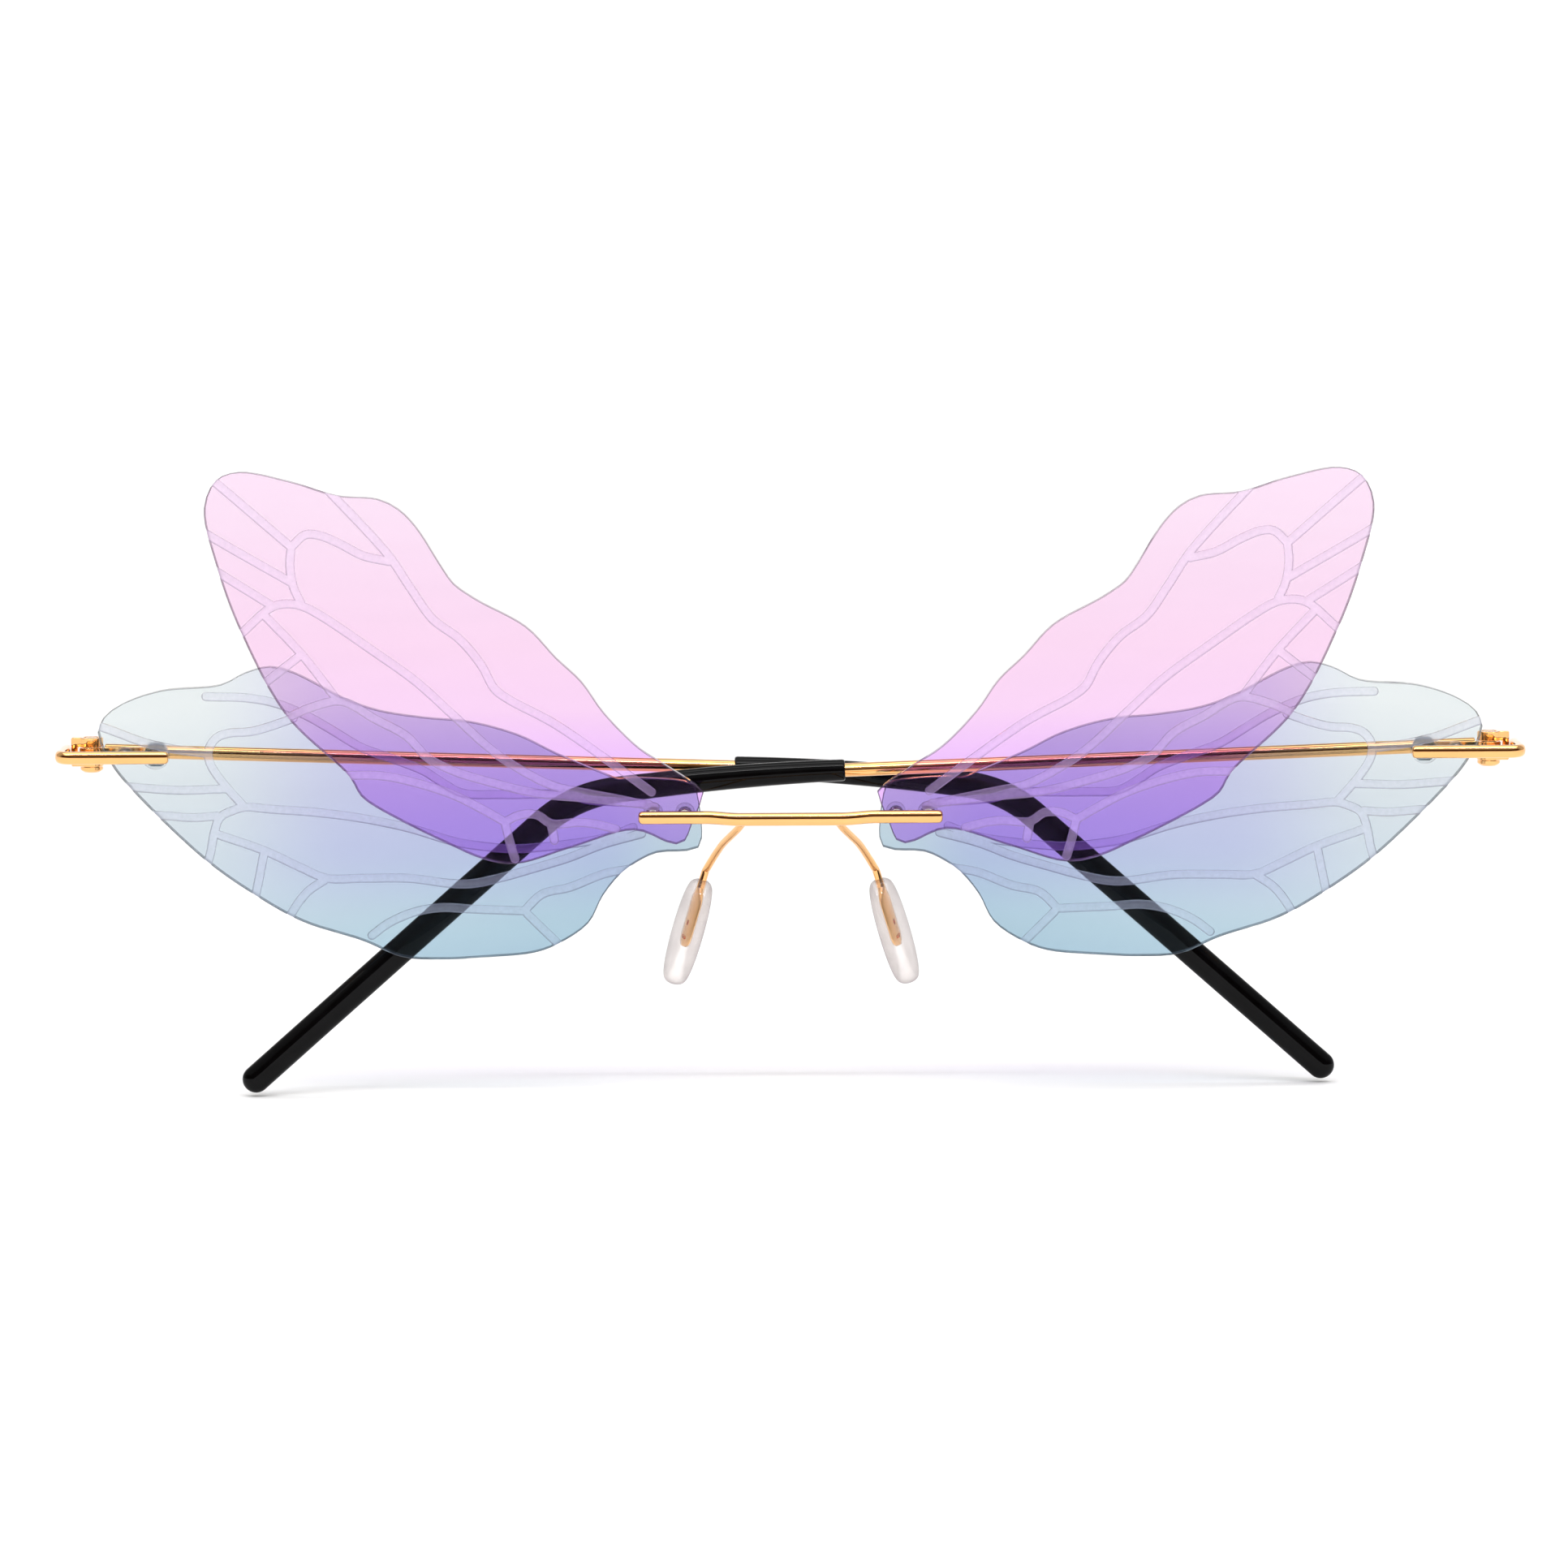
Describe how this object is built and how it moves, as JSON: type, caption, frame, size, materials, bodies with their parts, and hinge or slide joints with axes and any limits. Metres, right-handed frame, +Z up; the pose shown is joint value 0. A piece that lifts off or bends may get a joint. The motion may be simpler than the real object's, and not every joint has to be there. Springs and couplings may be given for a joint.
{
  "type": "novelty sunglasses with wing-shaped lenses",
  "caption": "Rimless novelty sunglasses with flat insect-wing lenses, forewings over hindwings, gold wire fittings, clear nose pads and folding temples with black ear sleeves.",
  "frame": {"origin": "middle of the bridge bar's underside, where the front is held on the nose", "axes": "+X to the wearer's left across the front, +Y back towards the face, +Z up"},
  "size_m": [0.1474, 0.0161, 0.0638],
  "materials": {
    "gold_metal": "polished gold plating",
    "forewing_lens": "clear, tinted pink at the top and violet below, with engraved veins",
    "hindwing_lens": "clear, tinted grey at the outer end and pale blue inside, with engraved veins",
    "clear_plastic": "clear",
    "nut_plastic": "clear blue-grey",
    "clear_silicone": "clear silicone",
    "black_sleeve": "glossy black"
  },
  "bodies": {
    "front": {"bridge_bar": "gold_metal", "bridge_bush_inner_left": "clear_plastic", "bridge_bush_inner_right": "clear_plastic", "bridge_bush_outer_left": "clear_plastic", "bridge_bush_outer_right": "clear_plastic", "endpiece_left": "gold_metal", "endpiece_right": "gold_metal", "forewing_left": "forewing_lens", "forewing_right": "forewing_lens", "hindwing_left": "hindwing_lens", "hindwing_right": "hindwing_lens", "hinge_front_left": "gold_metal", "hinge_front_right": "gold_metal", "hinge_screw_left": "gold_metal", "hinge_screw_right": "gold_metal", "lens_nut_left": "nut_plastic", "lens_nut_right": "nut_plastic", "lens_washer_left": "clear_plastic", "lens_washer_right": "clear_plastic", "nose_pad_left": "clear_silicone", "nose_pad_right": "clear_silicone", "pad_arm_left": "gold_metal", "pad_arm_right": "gold_metal", "pin_bush_left": "clear_plastic", "pin_bush_right": "clear_plastic"},
    "temple_left": {"hinge_temple_left": "gold_metal", "temple_wire_left": "gold_metal", "temple_tip_left": "black_sleeve"},
    "temple_right": {"hinge_temple_right": "gold_metal", "temple_wire_right": "gold_metal", "temple_tip_right": "black_sleeve"}
  },
  "joints": [
    {"name": "temple_fold_left", "type": "hinge", "parent": "front", "child": "temple_left", "pos_m": [0.0705, 0.0076, 0.0069], "axis": [0, 0, -1], "range_deg": [0, 92]},
    {"name": "temple_fold_right", "type": "hinge", "parent": "front", "child": "temple_right", "pos_m": [-0.0705, 0.0076, 0.0069], "axis": [0, 0, 1], "range_deg": [0, 89.4]}
  ]
}
